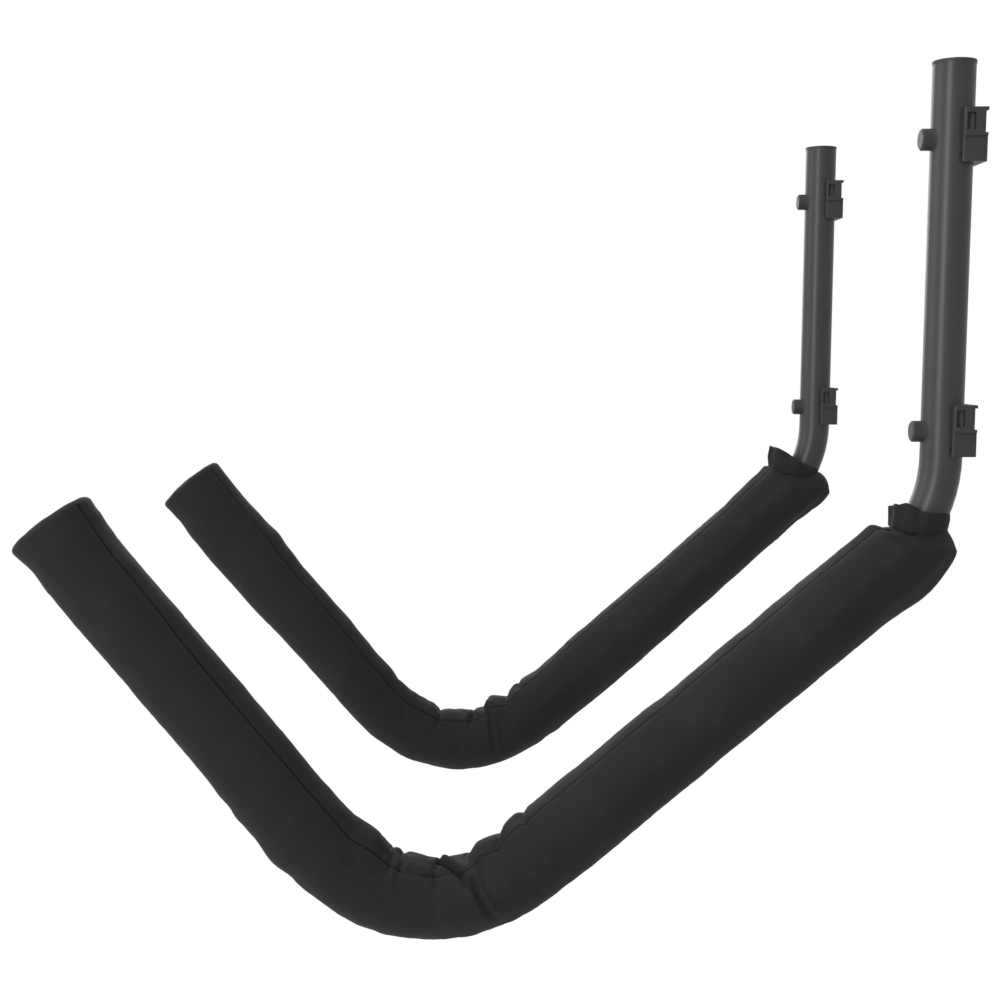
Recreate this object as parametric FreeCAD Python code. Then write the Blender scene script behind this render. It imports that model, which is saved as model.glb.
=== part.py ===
import FreeCAD, Part
import math
import os

from FreeCAD import Placement, Rotation, Vector

# A pair of padded tube arms that hang on a wall and cradle a boat on its side.
# Millimetres. X runs along the wall, Y points into the wall, Z is up.
# The origin is on the wall, midway between the arms and midway between the upper and lower wall screws.
# Every arm is modelled in the plane X = 0 and then moved sideways to its place.

# Place on the wall
ARM_SPACING = 450.0  # between the two tubes
TUBE_STANDOFF = 4.5  # wall to the back of the tube
BRACKET_PITCH = 221.0  # upper bolt to lower bolt
ELBOW_BELOW_BOLT = 70.5  # lower bolt to the corner of the elbow

# Bent tube
TUBE_OD = 32.0
TUBE_WALL = 1.8
BEND_RADIUS = 112.0  # centre line, both bends
UPRIGHT_LENGTH = 347.0  # elbow corner to the top end
BACK_LIMB_LENGTH = 540.0  # elbow corner to cradle corner
FRONT_LIMB_LENGTH = 440.0  # cradle corner to the free end
BACK_LIMB_DROP = 41.0  # degrees below level, away from the wall
FRONT_LIMB_RISE = 50.4  # degrees above level, away from the wall

# Push-in tube plugs
PLUG_LIP = 0.3  # rim stands proud of the tube's side
PLUG_RIM = 2.2  # rim thickness
PLUG_CROWN = 0.8  # rise of the domed face
PLUG_SKIRT_LENGTH = 16.0
PLUG_SKIRT_WALL = 2.0
PLUG_BARB = 0.5  # barbs stand proud of the skirt
PLUG_BARB_PITCH = 5.0
PLUG_BARB_COUNT = 2

# Foam pad and its fabric cover
FOAM_THICKNESS = 17.0
PAD_TOP_DROP = 5.3  # level wall end of the foam, below the corner of the elbow
SHOULDER_ROUND = 11.0  # rounded rim of that end
FOAM_OVERHANG = 1.2  # foam past the plug at the free end
COVER_THICKNESS = 1.2
COVER_FLARE = 1.4  # swell of the sewn free end
COVER_HEM = 26.0  # length of that swell
END_ROUND = 7.0  # rounded free end of the foam and of the cover
COVER_END_CROWN = 2.5
FOLD_COUNT = 5  # bunched folds on the inside of the cradle bend
FOLD_HEIGHT = 5.0
FOLD_VALLEY = 0.8  # slack of the fabric between two folds
FOLD_ARCS = 12  # arcs round one fold section
ELASTIC_DIAMETER = 1.6
ELASTIC_LIFT = 0.45  # tube to the elastic in the collar
ELASTIC_RISE = 8.181  # middle of the elastic above the foam's level end
ELASTIC_TILT = 12.0  # from square across the tube towards level

# Gathered collar that stands on the level end of the pad
COLLAR_LOBES = 10
COLLAR_SINK = 1.0  # into the shoulder
CREASE_RISE = 1.5  # drawn-in crease, above the shoulder
CREASE_RADIUS = 23.0
CREASE_SHIFT = 15.5  # from the upright's middle, away from the wall
CREASE_WAVE = 0.5
COLLAR_RISE = 8.0
COLLAR_RADIUS = 24.0
COLLAR_SHIFT = 14.5
COLLAR_WAVE = 1.6
LIP_RISE = 13.5
LIP_RADIUS = 24.3
LIP_SHIFT = 12.8
LIP_WAVE = 1.4
LIP_TILT = 8.0  # the lip falls towards the wall

# Wall bracket: a cup round the back of the tube with a slot open at the top
SOCKET_HEIGHT = 18.5
CHEEK_THICKNESS = 4.0
CHEEK_SETBACK = 2.5  # cheeks stop short of the tube's middle
CORNER_ROUND = 1.2
SCREW_SPREAD = 28.0
SCREW_DROP = 13.3  # below the bolt
SCREW_HOLE = 4.5
SCREW_HEAD_HOLE = 8.4
SCREW_SEAT = 5.0  # plastic left under the screw head

# Tube hook: a saddle bolted to the tube with a lug that drops into the slot
HOOK_HEIGHT = 21.0
HOOK_PROUD = 2.0  # wider than the wall bracket, each side
HOOK_WALL_GAP = 0.4
RIB_HEIGHT = 2.4
RIB_DEPTH = 2.0
WINDOW_WIDTH = 6.4
WINDOW_HEIGHT = 12.7
WINDOW_SILL = 4.5
WINDOW_POST = 1.8  # cheek left in front of the window
WINDOW_ROUND = 0.8
LUG_DROP = 8.2
LUG_WIDTH = 16.0
LUG_FLANGE_WIDTH = 23.0
LUG_FLANGE_THICKNESS = 1.9
LUG_LEAD = 1.0  # chamfer that guides the lug into the slot

# Through bolt, nut, saddle washer and nut cap
BOLT_DIAMETER = 6.0
BOLT_HEAD = 12.0
BOLT_RECESS = 0.2  # head below the back of the hook
BOLT_TIP = 0.3  # past the nut
KEY_WIDTH = 4.0
KEY_DEPTH = 2.0
NUT_WIDTH = 10.0
NUT_HEIGHT = 5.0
WASHER_STEP = 1.6  # tube to the washer's flat face
WASHER_FLARE = 0.7
CAP_DIAMETER = 16.4
CAP_END = 1.0
CAP_CHAMFER = 1.2

# Clearances
RUN_CLEARANCE = 0.3  # lift-off arm in the wall brackets
SEAT_CLEARANCE = 0.05  # pieces clamped or pushed together
HOLE_CLEARANCE = 0.2  # bolt in its holes, nut in its cap
FOAM_CLEARANCE = 0.1  # foam on the tube
COVER_CLEARANCE = 0.3  # cover over the foam and round the tube

# Worked out from the sizes above
TUBE_RADIUS = TUBE_OD / 2
BORE_RADIUS = TUBE_RADIUS - TUBE_WALL
TUBE_Y = -(TUBE_STANDOFF + TUBE_RADIUS)
FOAM_RADIUS = TUBE_RADIUS + FOAM_THICKNESS
COVER_RADIUS = FOAM_RADIUS + COVER_CLEARANCE + COVER_THICKNESS
BOLT_RADIUS = BOLT_DIAMETER / 2
BOLT_HOLE_RADIUS = BOLT_RADIUS + HOLE_CLEARANCE
BRACKET_HALF = TUBE_RADIUS + CHEEK_THICKNESS
CHEEK_FRONT = TUBE_Y + CHEEK_SETBACK
UPPER_BOLT_Z = BRACKET_PITCH / 2 + SCREW_DROP
LOWER_BOLT_Z = -BRACKET_PITCH / 2 + SCREW_DROP
BOLT_HEIGHTS = {"upper": UPPER_BOLT_Z, "lower": LOWER_BOLT_Z}
ARM_SIDES = {"left": -ARM_SPACING / 2, "right": ARM_SPACING / 2}

# Distances from the wall along a bolt
BOLT_START = HOOK_WALL_GAP + BOLT_RECESS
TUBE_CROWN = TUBE_STANDOFF + TUBE_OD
WASHER_FACE = TUBE_CROWN + WASHER_STEP
NUT_FACE = WASHER_FACE + NUT_HEIGHT
BOLT_END = NUT_FACE + BOLT_TIP
CAP_FACE = BOLT_END + HOLE_CLEARANCE + CAP_END

UP = Vector(0, 0, 1)
SIDEWAYS = Vector(1, 0, 0)
OUT = Vector(0, -1, 0)
TURN_AXIS = Vector(-1, 0, 0)  # both bends turn about this
FULL_TURN = 360


def sloped(degrees):
    """The direction away from the wall at this angle above level."""
    angle = math.radians(degrees)
    return Vector(0, -math.cos(angle), math.sin(angle))


class Bend:
    """A round bend of the centre line between two headings that meet at a corner."""

    def __init__(self, corner, heading_in, heading_out):
        self.turn = math.degrees(heading_in.getAngle(heading_out))
        tangent = BEND_RADIUS * math.tan(math.radians(self.turn / 2))
        self.heading_in = heading_in
        self.start = corner - heading_in * tangent
        self.end = corner + heading_out * tangent
        self.centre = self.start + self.turned(heading_in, 90) * BEND_RADIUS

    def turned(self, vector, angle):
        return Rotation(TURN_AXIS, angle).multVec(vector)

    def point(self, angle):
        return self.centre + self.turned(self.start - self.centre, angle)

    def heading(self, angle):
        return self.turned(self.heading_in, angle)

    def inward(self, angle):
        return self.turned(self.heading_in, angle + 90)

    def angle_at_height(self, height):
        """The angle of the elbow's point at this height."""
        return math.degrees(math.asin((self.centre.z - height) / BEND_RADIUS))


BACK_HEADING = sloped(-BACK_LIMB_DROP)
FRONT_HEADING = sloped(FRONT_LIMB_RISE)
ELBOW_CORNER = Vector(0, TUBE_Y, LOWER_BOLT_Z - ELBOW_BELOW_BOLT)
CRADLE_CORNER = ELBOW_CORNER + BACK_HEADING * BACK_LIMB_LENGTH
TUBE_TOP = ELBOW_CORNER + UP * UPRIGHT_LENGTH
TUBE_TIP = CRADLE_CORNER + FRONT_HEADING * FRONT_LIMB_LENGTH
ELBOW = Bend(ELBOW_CORNER, -UP, BACK_HEADING)
CRADLE = Bend(CRADLE_CORNER, BACK_HEADING, FRONT_HEADING)
FOAM_TIP = TUBE_TIP + FRONT_HEADING * (PLUG_RIM + PLUG_CROWN + FOAM_OVERHANG)


def straight(radius, start, end):
    """A round bar between two points."""
    run = end - start
    return Part.makeCylinder(radius, run.Length, start, run)


def curved(radius, bend, first_angle, last_angle):
    """A round bar along part of a bend."""
    circle = Part.makeCircle(radius, bend.point(first_angle), bend.heading(first_angle))
    face = Part.Face(Part.Wire(circle))
    return face.revolve(bend.centre, TURN_AXIS, last_angle - first_angle)


def joined(solids):
    return solids[0].multiFuse(solids[1:]).removeSplitter()


def revolved(outline):
    """A solid of revolution about Z from points (radius, height), where a point with a second pair in it
    starts an arc through that pair."""
    edges = []
    for corner, following in zip(outline, outline[1:] + outline[:1]):
        start = Vector(corner[0], 0, corner[1])
        end = Vector(following[0], 0, following[1])
        if len(corner) == 2:
            edges.append(Part.LineSegment(start, end).toShape())
        else:
            edges.append(Part.Arc(start, Vector(corner[2], 0, corner[3]), end).toShape())
    return Part.Face(Part.Wire(edges)).revolve(Vector(), UP, FULL_TURN)


def dome_middle(radius, base, rise):
    """The point halfway along the arc of a dome, from its rim to its crown on the axis."""
    sphere = (radius**2 + rise**2) / (2 * rise)
    half_angle = math.asin(radius / sphere) / 2
    return sphere * math.sin(half_angle), base + rise - sphere * (1 - math.cos(half_angle))


def placed(shape, point, heading):
    """A shape made along +Z, moved to a point and turned to a heading."""
    moved = shape.copy()
    moved.Placement = Placement(point, Rotation(UP, heading))
    return moved


def on_bolt(shape, bolt_z):
    """A shape made along +Z from the wall, turned to run outward at a bolt's height."""
    return placed(shape, Vector(0, 0, bolt_z), OUT)


def block(half_width, front, back, bottom, top):
    corner = Vector(-half_width, front, bottom)
    return Part.makeBox(2 * half_width, back - front, top - bottom, corner)


def rounded_uprights(shape, radius, front):
    """Round the vertical edges that lie on the front face."""
    edges = []
    for edge in shape.Edges:
        ends = [vertex.Point for vertex in edge.Vertexes]
        if len(ends) == 2 and all(abs(p.y - front) < 1e-6 for p in ends) and abs(ends[0].z - ends[1].z) > radius:
            edges.append(edge)
    return shape.makeFillet(radius, edges)


def hexagon(width, bottom, top):
    """A hexagonal bar along Z with this width across its flats."""
    corner_radius = width / math.sqrt(3)
    corners = [
        Vector(corner_radius * math.cos(k * math.pi / 3), corner_radius * math.sin(k * math.pi / 3), bottom)
        for k in range(6)
    ]
    face = Part.Face(Part.makePolygon(corners + corners[:1]))
    return face.extrude(UP * (top - bottom))


def section(centre, inward, radius_at, arcs):
    """A closed section made of arcs through points at radius_at(angle round the section)."""
    half_step = math.pi / arcs
    points = []
    for k in range(-1, 2 * arcs):
        around = k * half_step
        radius = radius_at(around)
        points.append(centre + inward * (radius * math.cos(around)) + SIDEWAYS * (radius * math.sin(around)))
    edges = [Part.Arc(*points[2 * k : 2 * k + 2], points[(2 * k + 2) % (2 * arcs)]).toShape() for k in range(arcs)]
    return Part.Wire(edges)


def bolt_hole(bolt_z):
    reach = TUBE_CROWN + TUBE_OD
    return on_bolt(Part.makeCylinder(BOLT_HOLE_RADIUS, reach), bolt_z)


def tube_run(radius):
    """A round bar along the whole centre line of the tube."""
    return joined([
        straight(radius, TUBE_TOP, ELBOW.start),
        curved(radius, ELBOW, 0, ELBOW.turn),
        straight(radius, ELBOW.end, CRADLE.start),
        curved(radius, CRADLE, 0, CRADLE.turn),
        straight(radius, CRADLE.end, TUBE_TIP),
    ])


def arm_tube():
    tube = tube_run(TUBE_RADIUS).cut(tube_run(BORE_RADIUS))
    for bolt_z in BOLT_HEIGHTS.values():
        tube = tube.cut(bolt_hole(bolt_z))
    return tube


def tube_plug():
    """A hollow push-in plug: rim and domed face above Z = 0, barbed skirt below."""
    rim_radius = TUBE_RADIUS + PLUG_LIP
    barb_radius = BORE_RADIUS - SEAT_CLEARANCE
    skirt_radius = barb_radius - PLUG_BARB
    inner_radius = skirt_radius - PLUG_SKIRT_WALL
    dome = dome_middle(rim_radius, PLUG_RIM, PLUG_CROWN)
    head = revolved([(0, 0), (rim_radius, 0), (rim_radius, PLUG_RIM, *dome), (0, PLUG_RIM + PLUG_CROWN)])
    skirt = Part.makeCylinder(skirt_radius, PLUG_SKIRT_LENGTH, Vector(0, 0, -PLUG_SKIRT_LENGTH))
    pieces = [head, skirt]
    for k in range(1, PLUG_BARB_COUNT + 1):
        tip = -k * PLUG_BARB_PITCH - PLUG_BARB
        pieces.append(Part.makeCone(skirt_radius, barb_radius, PLUG_BARB, Vector(0, 0, tip)))
    hollow = Part.makeCylinder(inner_radius, PLUG_SKIRT_LENGTH, Vector(0, 0, -PLUG_SKIRT_LENGTH))
    return joined(pieces).cut(hollow)


def pad_top(growth):
    """Height of the level wall end of the pad."""
    return ELBOW_CORNER.z - PAD_TOP_DROP + growth


def back_limb(growth):
    """The round of the pad on the elbow and the back limb, cut level with a rounded rim."""
    radius = FOAM_RADIUS + growth
    top = pad_top(growth)
    bar = joined([curved(radius, ELBOW, 0, ELBOW.turn), straight(radius, ELBOW.end, CRADLE.start)])
    bar = bar.cut(block(2 * radius, -BACK_LIMB_LENGTH, BACK_LIMB_LENGTH, top, TUBE_TOP.z))
    rim = [edge for edge in bar.Edges if all(abs(point.z - top) < 1e-6 for point in edge.discretize(5))]
    return bar.makeFillet(SHOULDER_ROUND + growth, rim)


def foam_bar(growth):
    """The foam without its bore, grown by a clearance."""
    radius = FOAM_RADIUS + growth
    front_limb = straight(radius, CRADLE.end, FOAM_TIP + FRONT_HEADING * growth)
    end_rim = max(front_limb.Edges, key=lambda edge: edge.CenterOfMass.z)
    return joined([
        back_limb(growth),
        curved(radius, CRADLE, 0, CRADLE.turn),
        front_limb.makeFillet(END_ROUND, [end_rim]),
    ])


def foam_pad():
    past_plug = straight(TUBE_RADIUS + PLUG_LIP + FOAM_CLEARANCE, TUBE_TIP, FOAM_TIP)
    return foam_bar(0).cut(tube_run(TUBE_RADIUS + FOAM_CLEARANCE)).cut(past_plug)


def collar():
    """The gathered collar of the cover, from its foot in the shoulder to its lip. The lobes die out at the wall."""
    stations = [
        (-COLLAR_SINK, CREASE_SHIFT, CREASE_RADIUS, CREASE_WAVE, 0),
        (CREASE_RISE, CREASE_SHIFT, CREASE_RADIUS, CREASE_WAVE, 0),
        (COLLAR_RISE, COLLAR_SHIFT, COLLAR_RADIUS, COLLAR_WAVE, LIP_TILT / 2),
        (LIP_RISE, LIP_SHIFT, LIP_RADIUS, LIP_WAVE, LIP_TILT),
    ]
    sections = []
    for rise, shift, mean, wave, tilt in stations:
        centre = Vector(0, TUBE_Y - shift, pad_top(COVER_RADIUS - FOAM_RADIUS) + rise)

        def lobed(around):
            return mean + wave * math.cos(COLLAR_LOBES * around) * (1 + math.cos(around)) / 2

        sections.append(section(centre, sloped(tilt), lobed, 2 * COLLAR_LOBES))
    return Part.makeLoft(sections, True)


def fold_section(share, rise):
    """A section at this share of the cradle bend, raised on the inner side of the bend."""
    angle = CRADLE.turn * share

    def raised(around):
        return COVER_RADIUS + rise * max(0, math.cos(around)) ** 2

    return section(CRADLE.point(angle), CRADLE.inward(angle), raised, FOLD_ARCS)


def folds():
    """The cover round the cradle bend: rounded folds on its inner side with a crease between each two."""
    rises = [0] + [FOLD_VALLEY] * (FOLD_COUNT - 1) + [0]
    for k in range(FOLD_COUNT):
        yield Part.makeLoft([
            fold_section(k / FOLD_COUNT, rises[k]),
            fold_section((k + 0.5) / FOLD_COUNT, FOLD_HEIGHT),
            fold_section((k + 1) / FOLD_COUNT, rises[k + 1]),
        ], True)


def sewn_end():
    """The cover on the front limb, swelling to a closed, rounded end."""
    length = (FOAM_TIP - CRADLE.end).Length + COVER_CLEARANCE + COVER_THICKNESS
    full = COVER_RADIUS + COVER_FLARE
    shoulder = length - END_ROUND
    face_radius = full - END_ROUND
    corner = END_ROUND * math.cos(math.pi / 4)
    sleeve = revolved([
        (0, 0),
        (COVER_RADIUS, 0),
        (COVER_RADIUS, length - COVER_HEM),
        (full, shoulder, face_radius + corner, shoulder + corner),
        (face_radius, length, *dome_middle(face_radius, length, COVER_END_CROWN)),
        (0, length + COVER_END_CROWN),
    ])
    return placed(sleeve, CRADLE.end, FRONT_HEADING)


def elastic_ring(thickness):
    angle = ELBOW.angle_at_height(pad_top(0) + ELASTIC_RISE)
    tube_reach = TUBE_RADIUS / math.cos(math.radians(ELASTIC_TILT))
    ring_radius = tube_reach + ELASTIC_LIFT + ELASTIC_DIAMETER / 2
    return Part.makeTorus(ring_radius, thickness / 2, ELBOW.point(angle), ELBOW.heading(angle - ELASTIC_TILT))


def pad_cover():
    outside = joined([
        collar(),
        back_limb(COVER_RADIUS - FOAM_RADIUS),
        *folds(),
        sewn_end(),
    ])
    inside = foam_bar(COVER_CLEARANCE)
    hem = elastic_ring(ELASTIC_DIAMETER + 2 * SEAT_CLEARANCE)
    return outside.cut(inside).cut(tube_run(TUBE_RADIUS + COVER_CLEARANCE)).cut(hem)


def channel(clearance, bottom, top):
    """Room for the upright part of the tube."""
    return Part.makeCylinder(TUBE_RADIUS + clearance, top - bottom, Vector(0, TUBE_Y, bottom))


def wall_bracket(bolt_z):
    bottom = -SOCKET_HEIGHT
    slot_bottom = -(LUG_DROP + RUN_CLEARANCE)
    flange_front = -(HOOK_WALL_GAP + LUG_FLANGE_THICKNESS + RUN_CLEARANCE)
    body = rounded_uprights(block(BRACKET_HALF, CHEEK_FRONT, 0, bottom, 0), CORNER_ROUND, CHEEK_FRONT)
    body = body.cut(channel(RUN_CLEARANCE, bottom, 0))
    body = body.cut(block(LUG_WIDTH / 2 + RUN_CLEARANCE, CHEEK_FRONT, 0, slot_bottom, 0))
    body = body.cut(block(LUG_FLANGE_WIDTH / 2 + RUN_CLEARANCE, flange_front, 0, slot_bottom, 0))
    for side in (-1, 1):
        screw = Vector(side * SCREW_SPREAD / 2, 0, -SCREW_DROP)
        head_seat = screw + OUT * SCREW_SEAT
        body = body.cut(Part.makeCylinder(SCREW_HOLE / 2, -CHEEK_FRONT, screw, OUT))
        body = body.cut(Part.makeCylinder(SCREW_HEAD_HOLE / 2, -CHEEK_FRONT, head_seat, OUT))
    body.translate(UP * bolt_z)
    return body


def tube_hook(bolt_z):
    half = BRACKET_HALF + HOOK_PROUD
    back = -HOOK_WALL_GAP
    rib_front = back - RIB_DEPTH
    saddle = rounded_uprights(block(half, CHEEK_FRONT, back, 0, HOOK_HEIGHT), CORNER_ROUND, CHEEK_FRONT)
    recess = block(half, rib_front, back, RIB_HEIGHT, HOOK_HEIGHT - RIB_HEIGHT)
    spine = block(LUG_WIDTH / 2, CHEEK_FRONT, back, -LUG_DROP, HOOK_HEIGHT)
    flange = block(LUG_FLANGE_WIDTH / 2, back - LUG_FLANGE_THICKNESS, back, -LUG_DROP, 0)
    lower_edges = [e for e in flange.Edges if all(abs(v.Z + LUG_DROP) < 1e-6 for v in e.Vertexes)]
    sides = [e for e in lower_edges if abs(e.Vertexes[0].X - e.Vertexes[1].X) < 1e-6]
    flange = flange.makeChamfer(LUG_LEAD, sides)
    body = saddle.cut(recess).fuse(spine).fuse(flange).removeSplitter()
    body = body.cut(channel(SEAT_CLEARANCE, -LUG_DROP, HOOK_HEIGHT))
    window_front = CHEEK_FRONT + WINDOW_POST
    window = block(half, window_front, window_front + WINDOW_WIDTH, WINDOW_SILL, WINDOW_SILL + WINDOW_HEIGHT)
    crossways = [e for e in window.Edges if abs(e.Vertexes[0].X - e.Vertexes[1].X) > half]
    body = body.cut(window.makeFillet(WINDOW_ROUND, crossways))
    body = body.cut(bolt_hole(0))
    body = body.cut(on_bolt(bolt_head_cone(SEAT_CLEARANCE), 0))
    body.translate(UP * bolt_z)
    return body


def bolt_head_cone(clearance):
    """The countersunk head, with room on its cone, reaching back to the wall when it is a cutter."""
    head_radius = BOLT_HEAD / 2 + clearance
    height = head_radius - BOLT_RADIUS
    start = BOLT_START
    cone = Part.makeCone(head_radius, BOLT_RADIUS, height, Vector(0, 0, start))
    if clearance == 0:
        return cone
    return cone.fuse(Part.makeCylinder(head_radius, start))


def through_bolt(bolt_z):
    shank = Part.makeCylinder(BOLT_RADIUS, BOLT_END - BOLT_START, Vector(0, 0, BOLT_START))
    bolt = joined([shank, bolt_head_cone(0)])
    return on_bolt(bolt.cut(hexagon(KEY_WIDTH, BOLT_START, BOLT_START + KEY_DEPTH)), bolt_z)


def lock_nut(bolt_z):
    nut = hexagon(NUT_WIDTH, WASHER_FACE, NUT_FACE)
    bore = Part.makeCylinder(BOLT_RADIUS + SEAT_CLEARANCE, NUT_HEIGHT, Vector(0, 0, WASHER_FACE))
    return on_bolt(nut.cut(bore), bolt_z)


def saddle_washer(bolt_z):
    """A round washer with a flared base that is hollowed to sit on the tube."""
    top_radius = CAP_DIAMETER / 2
    base_radius = top_radius + WASHER_FLARE
    sag = TUBE_RADIUS - math.sqrt(TUBE_RADIUS**2 - base_radius**2)
    base = TUBE_CROWN - sag
    washer = revolved([
        (BOLT_HOLE_RADIUS, base),
        (base_radius, base, top_radius + WASHER_FLARE / 4, (base + WASHER_FACE) / 2),
        (top_radius, WASHER_FACE),
        (BOLT_HOLE_RADIUS, WASHER_FACE),
    ])
    return on_bolt(washer, bolt_z).cut(channel(SEAT_CLEARANCE, bolt_z - CAP_DIAMETER, bolt_z + CAP_DIAMETER))


def nut_cap(bolt_z):
    """A round cap with a hollow that fits over the nut's corners."""
    radius = CAP_DIAMETER / 2
    hollow_radius = NUT_WIDTH / math.sqrt(3) + HOLE_CLEARANCE
    cap = revolved([
        (0, CAP_FACE - CAP_END),
        (hollow_radius, CAP_FACE - CAP_END),
        (hollow_radius, WASHER_FACE),
        (radius, WASHER_FACE),
        (radius, CAP_FACE - CAP_CHAMFER),
        (radius - CAP_CHAMFER, CAP_FACE),
        (0, CAP_FACE),
    ])
    return on_bolt(cap, bolt_z)


# Pieces that come once on each arm
ARM_PIECES = {
    "arm_tube": arm_tube,
    "top_plug": lambda: placed(tube_plug(), TUBE_TOP, UP),
    "end_plug": lambda: placed(tube_plug(), TUBE_TIP, FRONT_HEADING),
    "foam_pad": foam_pad,
    "pad_cover": pad_cover,
    "hem_elastic": lambda: elastic_ring(ELASTIC_DIAMETER),
}

# Pieces that come at both bolts of each arm
BOLT_PIECES = {
    "wall_bracket": wall_bracket,
    "tube_hook": tube_hook,
    "through_bolt": through_bolt,
    "lock_nut": lock_nut,
    "saddle_washer": saddle_washer,
    "nut_cap": nut_cap,
}


def build():
    """Every node of one arm, made in the plane X = 0."""
    nodes = {name: make() for name, make in ARM_PIECES.items()}
    for level, bolt_z in BOLT_HEIGHTS.items():
        for name, make in BOLT_PIECES.items():
            nodes[f"{level}_{name}"] = make(bolt_z)
    return nodes


os.makedirs("parts", exist_ok=True)
for piece, shape in build().items():
    for side, offset in ARM_SIDES.items():
        moved = shape.copy()
        moved.translate(SIDEWAYS * offset)
        moved.exportStep(f"parts/{side}_{piece}.step")
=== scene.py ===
import math

import bmesh
import bpy
from bpy.props import FloatProperty, FloatVectorProperty, PointerProperty
from bpy.types import Operator, Panel, PropertyGroup
from mathutils import Matrix, Vector, noise


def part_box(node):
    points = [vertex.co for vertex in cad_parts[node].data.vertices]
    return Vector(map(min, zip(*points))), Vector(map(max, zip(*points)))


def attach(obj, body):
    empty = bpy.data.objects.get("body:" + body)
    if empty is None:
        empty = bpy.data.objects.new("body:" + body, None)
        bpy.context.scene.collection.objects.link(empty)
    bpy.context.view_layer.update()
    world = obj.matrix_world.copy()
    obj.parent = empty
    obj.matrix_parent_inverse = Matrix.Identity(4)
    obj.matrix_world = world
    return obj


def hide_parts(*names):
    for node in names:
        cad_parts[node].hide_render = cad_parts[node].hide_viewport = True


bl_info = {
    "name": "Padded Wall Rack",
    "version": (1, 0, 0),
    "blender": (4, 5, 0),
    "location": "View3D > Sidebar > Wall Rack",
    "description": "Dresses a pair of wall rack arms with padded sleeves, powder coat and moulded plastic",
    "category": "Object",
}

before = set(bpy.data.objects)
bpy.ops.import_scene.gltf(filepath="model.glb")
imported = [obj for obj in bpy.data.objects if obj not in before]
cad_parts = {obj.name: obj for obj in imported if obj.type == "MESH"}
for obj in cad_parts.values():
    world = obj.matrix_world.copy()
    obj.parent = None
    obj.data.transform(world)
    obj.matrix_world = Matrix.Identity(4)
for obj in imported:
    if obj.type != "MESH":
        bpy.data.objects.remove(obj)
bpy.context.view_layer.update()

# Metres in a millimetre, and the distance in metres within which two points are one
MM = 0.001
SAME_PLACE = 1e-6

# The arm's centre line, in millimetres and degrees, as the tube is bent
TUBE_Y = -20.5
ELBOW_Z = -167.7
BEND_RADIUS = 112.0
BACK_DROP = 41.0
FRONT_RISE = 50.4
CRADLE_TURN = BACK_DROP + FRONT_RISE
BACK_LENGTH = 540.0
ARM_X = {"left": -225.0, "right": 225.0}
SIDEWAYS = Vector((1, 0, 0))

# The pad's wall end: a point on it, its fall to the wall, its rim, and how far its sides hang down
PAD_END = {
    "right": {
        "point": (-36.0, -171.5), "tilt": 0.0, "round": 12.5,
        "droop": 13.0, "wall_droop": 14.0, "wall_start": -22.0,
    },
    "left": {
        "point": (-43.3, -165.3), "tilt": 8.0, "round": 5.0,
        "droop": 16.0, "wall_droop": 19.0, "wall_start": -18.0,
    },
}
WALL_DROOP_LENGTH = 17.0

# The shoulder, from the sleeve to the crease of the collar, and the search for its surface
SHOULDER_START = -17.0
SHOULDER_CLOTH = 30.0
SHOULDER_FADE_LENGTH = 26.0
SHOULDER_CALM = 0.5
CREASE_OVERLAP = 0.8
RAY_LENGTH = 90.0
RAY_HALVINGS = 26

# Easing of the shoulder's rim and of the crease: rounds, and where it reaches
SHOULDER_EASING = {"right": 8, "left": 3}
RIM_SHARE = 0.85
RIM_STATION = 20.0
CREASE_EASING = 20
CREASE_FADE = 1.15
CREASE_SHOULDER_SHARE = 0.5
CREASE_COLLAR_SHARE = 0.4
EASING = 0.5

# The gathered collar above it: rings that fall to the wall
CREASE = {
    "right": {"centre": (-36.0, -170.8), "radius": 22.4, "tilt": 0.0, "width": 1.0},
    "left": {"centre": (-43.3, -164.8), "radius": 26.6, "tilt": 8.0, "width": 0.95},
}
COLLAR = {
    "right": {"centre": (-35.4, -165.0), "radius": 22.6, "tilt": 2.0, "width": 1.0},
    "left": {"centre": (-42.8, -159.5), "radius": 29.0, "tilt": 17.0, "width": 0.88},
}
LIP = {
    "right": {"centre": (-35.4, -158.5), "radius": 22.4, "tilt": 6.0, "width": 1.0},
    "left": {"centre": (-41.2, -152.6), "radius": 29.8, "tilt": 26.0, "width": 0.8},
}
COLLAR_SHARE = 0.55
COLLAR_CLOTH = 16.0
LIP_THICKNESS = 1.6

# Gathers of the collar: their number, sway and unevenness, and their height at the crease and lip
GATHERS = 10
GATHER_SWAY = 3.0
GATHER_GRAIN = 1.3
GATHER_EVEN = 0.75
GATHER_UNEVEN = 0.5
GATHER_HEIGHT = (0.7, 1.9)
GATHER_BY_WALL = 0.3
COLLAR_DRAW = {"right": 3.0, "left": 11.0}
UNEVEN_DRAW = 5

# Waves of the lip, and its humps and dips: angle, height, half angle
LIP_WAVE = 1.5
LIP_WAVE_GRAIN = 1.7
LIP_WAVE_DRAW = 4
LIP_HUMPS = {
    "right": [(46, 6.0, 27), (-50, 1.0, 25), (0, -1.5, 22)],
    "left": [(0, -2.5, 22), (36, 1.5, 24), (110, -3.0, 30)],
}

# The bore for the tube and the funnel that opens from it to the lip
BORE_RADIUS = 16.3
BORE_END = 881.6
FUNNEL_FOOT = -40.0
FUNNEL_TOP = 0.04
FUNNEL_FLARE = 0.4

# The sewn free end: station, slant of its cut, rounded rim, crown and dimples
SLEEVE_END = {"right": 890.0, "left": 876.5}
END_LEAN = {"right": 3.0, "left": 0.0}
END_LEAN_LENGTH = 60.0
END_RIM = 0.45
END_ROUND = 5.0
END_CROWN = 3.0
DIMPLE = 0.8
DIMPLE_LENGTH = 14

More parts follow.
